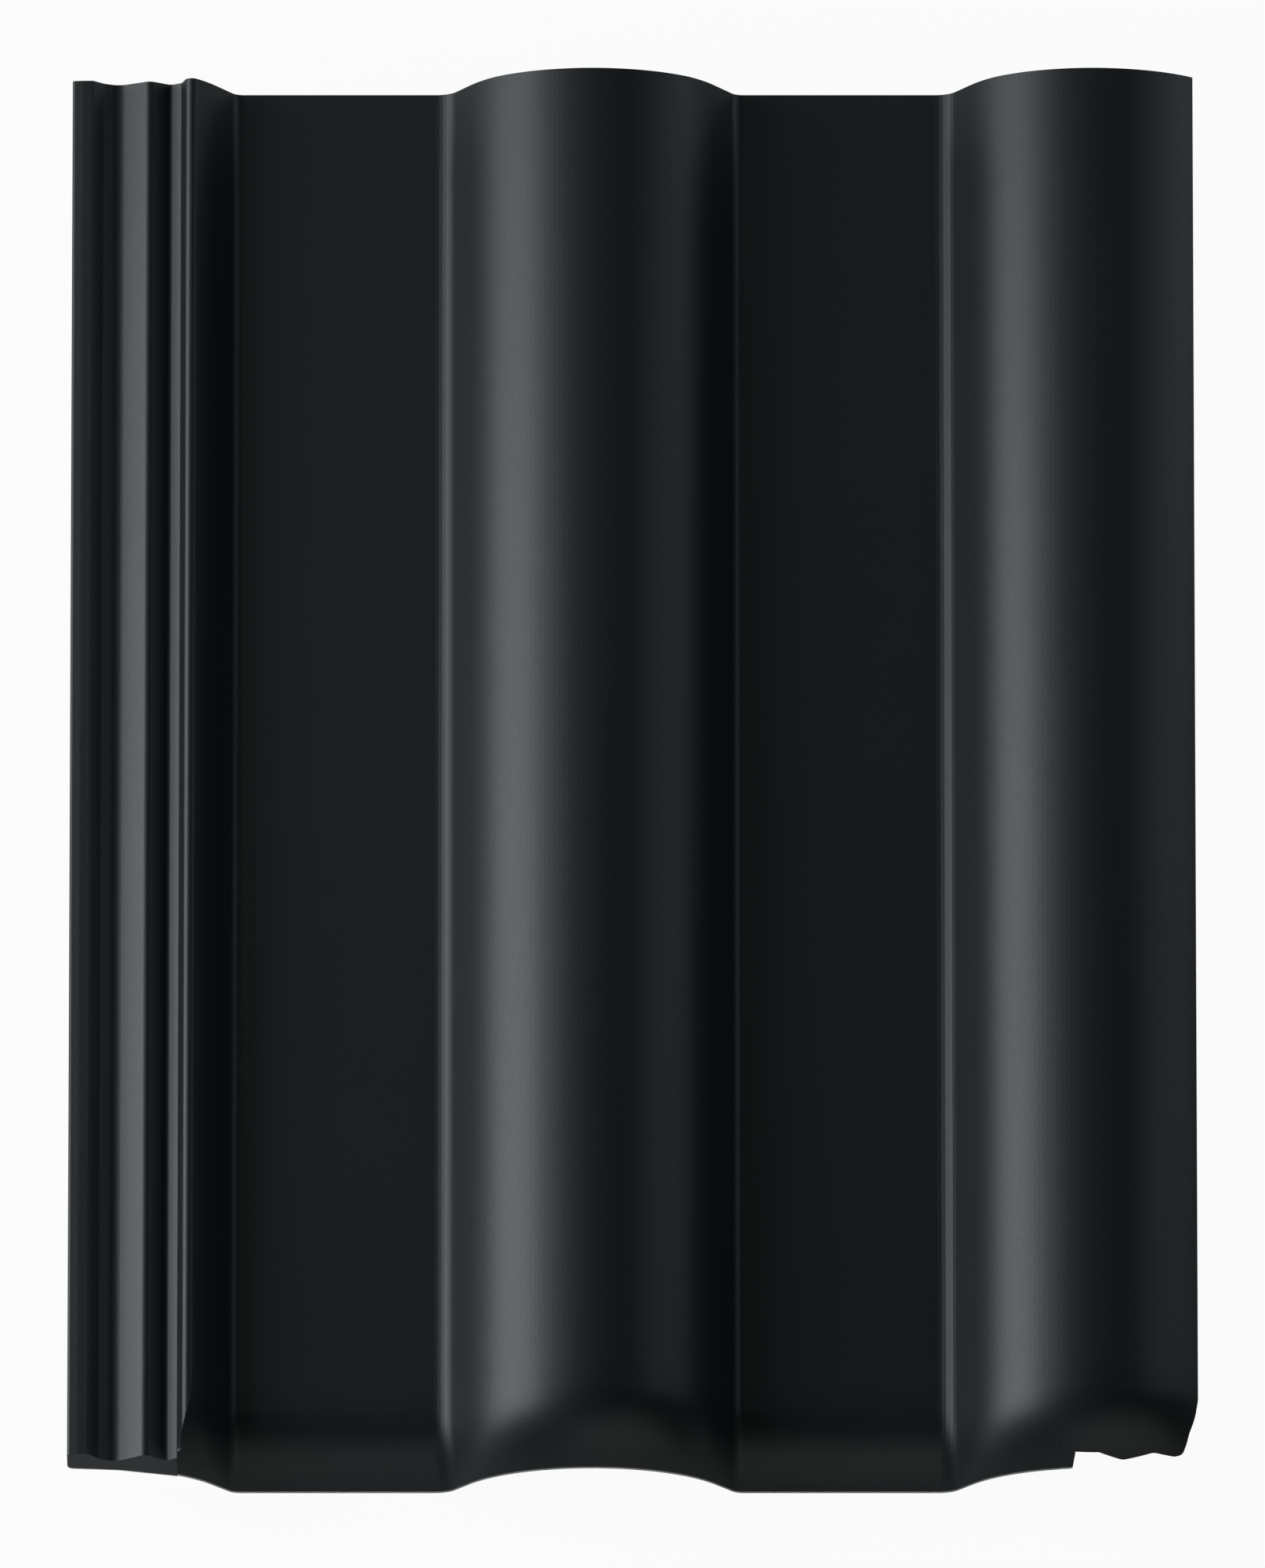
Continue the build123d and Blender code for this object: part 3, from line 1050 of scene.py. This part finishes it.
def table_object(name: str, entries: list[dict[str, float]]) -> bpy.types.Object:
    """Makes a helper object whose points hold numbers for geometry nodes.

    Args:
        name: The helper's name.
        entries: The named numbers of each point.

    Returns:
        The helper, linked into the scene.
    """
    mesh = bpy.data.meshes.new(name)
    mesh.from_pydata([(float(i), 0.0, 0.0) for i in range(len(entries))], [], [])
    for key in entries[0]:
        attribute = mesh.attributes.new(key, "FLOAT", "POINT")
        attribute.data.foreach_set("value", [entry[key] for entry in entries])
    helper = bpy.data.objects.new(name, mesh)
    bpy.context.scene.collection.objects.link(helper)
    return helper


@dataclass
class HangingNibs:
    """The two nibs under the pans near the head, in millimetres."""

    width: float = 36.0
    length: float = 18.0
    depth: float = 13.0
    inset: float = 4.0
    draft: float = math.radians(12.0)
    rounding: float = 2.0
    rounding_segments: int = 4
    root: float = 1.0
    same_height: float = 0.0001

    def build(self, body: TileBody) -> bmesh.types.BMesh:
        """Builds both nibs.

        Args:
            body: The tile that they hang from.

        Returns:
            The nibs, in metres, in the flat tile's frame.
        """
        section = body.section
        back = body.edge.length / 2 - self.inset
        front = back - self.length
        slant = self.depth * math.tan(self.draft)
        floor = section.pan_floor
        side = [
            (front, floor + self.root),
            (front, floor),
            (front + slant, floor - self.depth),
            (back - slant, floor - self.depth),
            (back, floor),
            (back, floor + self.root),
        ]
        crests = (section.left_crest, section.middle_crest, section.right_crest)
        nibs = bmesh.new()
        for near, far in zip(crests, crests[1:]):
            middle = (near + far) / 2
            rings = []
            for x in (middle - self.width / 2, middle + self.width / 2):
                rings.append([nibs.verts.new((x * MM, y * MM, z * MM)) for y, z in side])
            nibs.faces.new(rings[0])
            nibs.faces.new(reversed(rings[1]))
            count = len(side)
            for i in range(count):
                j = (i + 1) % count
                nibs.faces.new((rings[0][j], rings[0][i], rings[1][i], rings[1][j]))
        tip = floor - self.depth + self.same_height
        edges = [e for e in nibs.edges if all(v.co.z < tip * MM for v in e.verts)]
        bmesh.ops.bevel(
            nibs,
            geom=edges,
            offset=self.rounding * MM,
            segments=self.rounding_segments,
            profile=0.5,
            affect="EDGES",
        )
        bmesh.ops.recalc_face_normals(nibs, faces=nibs.faces)
        return nibs


@dataclass
class Resting:
    """How the tile lies on its front edge and its nibs."""

    pitch: float = math.radians(1.2517)

    def place(self, meshes: list[bpy.types.Mesh]) -> None:
        """Tilts meshes from the flat frame and sets them down in the CAD box.

        Args:
            meshes: The meshes, which keep their places to each other.
        """
        low, high = CAD_BOX
        tilt = Matrix.Rotation(self.pitch, 4, "X")
        for mesh in meshes:
            mesh.transform(tilt)
        points = [v.co for mesh in meshes for v in mesh.vertices]
        middle = (min(p.y for p in points) + max(p.y for p in points)) / 2
        lowest = min(p.z for p in points)
        shift = Matrix.Translation((0.0, (low.y + high.y) / 2 - middle, low.z - lowest))
        for mesh in meshes:
            mesh.transform(shift)


@dataclass(frozen=True)
class Lamp:
    """A soft studio lamp that points at the tile."""

    name: str
    direction: tuple[float, float, float]
    distance: float
    size: tuple[float, float]
    power: float
    colour: Colour

    def build(self) -> None:
        """Adds the lamp to the scene."""
        data = bpy.data.lights.new(self.name, "AREA")
        data.shape = "RECTANGLE"
        data.size, data.size_y = self.size
        data.energy = self.power
        data.color = self.colour
        lamp = bpy.data.objects.new(self.name, data)
        way = Vector(self.direction).normalized()
        lamp.location = way * self.distance
        lamp.rotation_mode = "QUATERNION"
        lamp.rotation_quaternion = way.to_track_quat("Z", "Y")
        bpy.context.scene.collection.objects.link(lamp)


@dataclass
class Studio:
    """Floor, lamps, world and camera, in metres except for the lens.

    The camera sees the floor as white by floor_whiteness, and the rest is its grey with the tile's
    shadow. The world is white to the camera, and lights the tile with world_light.
    """

    floor_size: float = 6.0
    floor_grey: float = 0.55
    floor_whiteness: float = 0.95
    world_light: float = 0.01
    view_depth: float = 100.0
    camera_distance: float = 10.0127
    camera_elevation: float = math.radians(74.285)
    lens: float = 783.0
    aim: tuple[float, float, float] = (0.0, 0.0001, 0.02078)
    lamps: tuple[Lamp, ...] = (
        Lamp("key_left", (-0.93, 0.0, 0.42), 1.35, (1.25, 1.0), 19.5, (0.91, 0.96, 1.0)),
        Lamp("fill_right", (0.86, 0.22, 0.43), 1.9, (0.6, 1.6), 3.3, (0.78, 0.90, 1.0)),
        Lamp("upper_left", (-0.62, 0.27, 0.74), 1.5, (0.5, 1.0), 2.4, (0.91, 0.96, 1.0)),
        Lamp("front_fill", (0.25, -0.92, 0.4), 2.4, (2.6, 1.8), 7.8, (0.95, 0.98, 1.0)),
        Lamp("head_low", (0.74, 0.66, 0.14), 0.6, (0.5, 0.15), 0.14, (0.85, 0.93, 1.0)),
        Lamp("back_panel", (0.0, 0.45, 0.9), 2.2, (1.6, 1.2), 1.5, (0.86, 1.0, 1.0)),
    )

    def build(self) -> None:
        """Builds the studio around the tile."""
        for lamp in self.lamps:
            lamp.build()
        self._floor()
        self._world()
        self._camera()

    def _floor(self) -> None:
        """Adds the pale floor, which the camera sees as white with a soft shadow."""
        half = self.floor_size / 2
        mesh = bpy.data.meshes.new("floor")
        corners = [(-half, -half, 0), (half, -half, 0), (half, half, 0), (-half, half, 0)]
        mesh.from_pydata(corners, [], [(0, 1, 2, 3)])
        floor = bpy.data.objects.new("floor", mesh)
        bpy.context.scene.collection.objects.link(floor)
        material = bpy.data.materials.new("pale floor")
        material.use_nodes = True
        material.node_tree.nodes.clear()
        maker = NodeMaker(material.node_tree)
        matt = maker.add("ShaderNodeBsdfDiffuse", {}, {"Color": (*[self.floor_grey] * 3, 1.0)})
        glow = maker.add("ShaderNodeEmission", {}, {"Color": WHITE, "Strength": 1.0})
        seen = maker.term(maker.add("ShaderNodeLightPath", {}, {}).outputs["Is Camera Ray"])
        mixed = maker.add(
            "ShaderNodeMixShader",
            {},
            {"Fac": seen * self.floor_whiteness, 1: matt.outputs[0], 2: glow.outputs[0]},
        )
        maker.add("ShaderNodeOutputMaterial", {}, {"Surface": mixed.outputs[0]})
        mesh.materials.append(material)

    def _world(self) -> None:
        """Gives the world a dim grey light and a white backdrop for the camera."""
        world = bpy.data.worlds.new("studio")
        world.use_nodes = True
        world.node_tree.nodes.clear()
        maker = NodeMaker(world.node_tree)
        seen = maker.term(maker.add("ShaderNodeLightPath", {}, {}).outputs["Is Camera Ray"])
        strength = seen * (1.0 - self.world_light) + self.world_light
        glow = maker.add("ShaderNodeBackground", {}, {"Color": WHITE, "Strength": strength})
        maker.add("ShaderNodeOutputWorld", {}, {"Surface": glow.outputs[0]})
        bpy.context.scene.world = world

    def _camera(self) -> None:
        """Puts the camera high in front of the tile, far away with a long lens."""
        data = bpy.data.cameras.new("camera")
        data.lens = self.lens
        data.clip_end = self.view_depth
        camera = bpy.data.objects.new("camera", data)
        back = Vector((0.0, -math.cos(self.camera_elevation), math.sin(self.camera_elevation)))
        camera.location = Vector(self.aim) + back * self.camera_distance
        camera.rotation_mode = "QUATERNION"
        camera.rotation_quaternion = (-back).to_track_quat("-Z", "Y")
        bpy.context.scene.collection.objects.link(camera)
        bpy.context.scene.camera = camera


COATED = ConcreteFinish(
    name="coated concrete",
    colour=(0.0055, 0.0105, 0.0110),
    dark_colour=(0.0025, 0.0052, 0.0058),
    roughness=0.44,
    roughness_spread=0.12,
    fine_grain=Grain(0.7, 0.02),
    broad_grain=Grain(14.0, 0.05, 1.0),
    speckle_size=0.9,
    speckle_start=0.62,
)
# Uncoated concrete of the underside and the head end. On the strip along the lower front edge its light
# colour also stands in for that edge's highlight, a painted highlight.
BARE = ConcreteFinish(
    name="bare concrete",
    colour=(0.66, 0.66, 0.65),
    dark_colour=(0.36, 0.36, 0.35),
    roughness=0.85,
    roughness_spread=0.15,
    fine_grain=Grain(1.1, 0.2, 4.0),
    broad_grain=Grain(10.0, 0.35, 2.0),
    speckle_size=2.2,
    speckle_start=0.5,
)


def add_piece(name: str, mesh: bpy.types.Mesh) -> bpy.types.Object:
    """Adds a finished mesh as a piece that rides on the tile's body.

    Args:
        name: The piece's name.
        mesh: Its mesh, in place.

    Returns:
        The piece.
    """
    piece = bpy.data.objects.new(name, mesh)
    bpy.context.scene.collection.objects.link(piece)
    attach(piece, "root")
    LOG.info("%s: %d faces", name, len(mesh.polygons))
    return piece


def main() -> None:
    logging.basicConfig(level=logging.INFO, format="%(message)s")
    bpy.context.scene.view_settings.view_transform = "Standard"
    coated, bare = COATED.material(), BARE.material()
    body = TileBody()
    body_mesh = body.build(coated, bare)
    nib_mesh = bpy.data.meshes.new("hanging_nibs")
    nibs = HangingNibs().build(body)
    nibs.to_mesh(nib_mesh)
    nibs.free()
    nib_mesh.materials.append(bare)
    Resting().place([body_mesh, nib_mesh])
    tile = add_piece("tile_body", body_mesh)
    add_piece("hanging_nibs", nib_mesh)
    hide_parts("roof_tile")
    Studio().build()


if __name__ == "__main__":
    main()
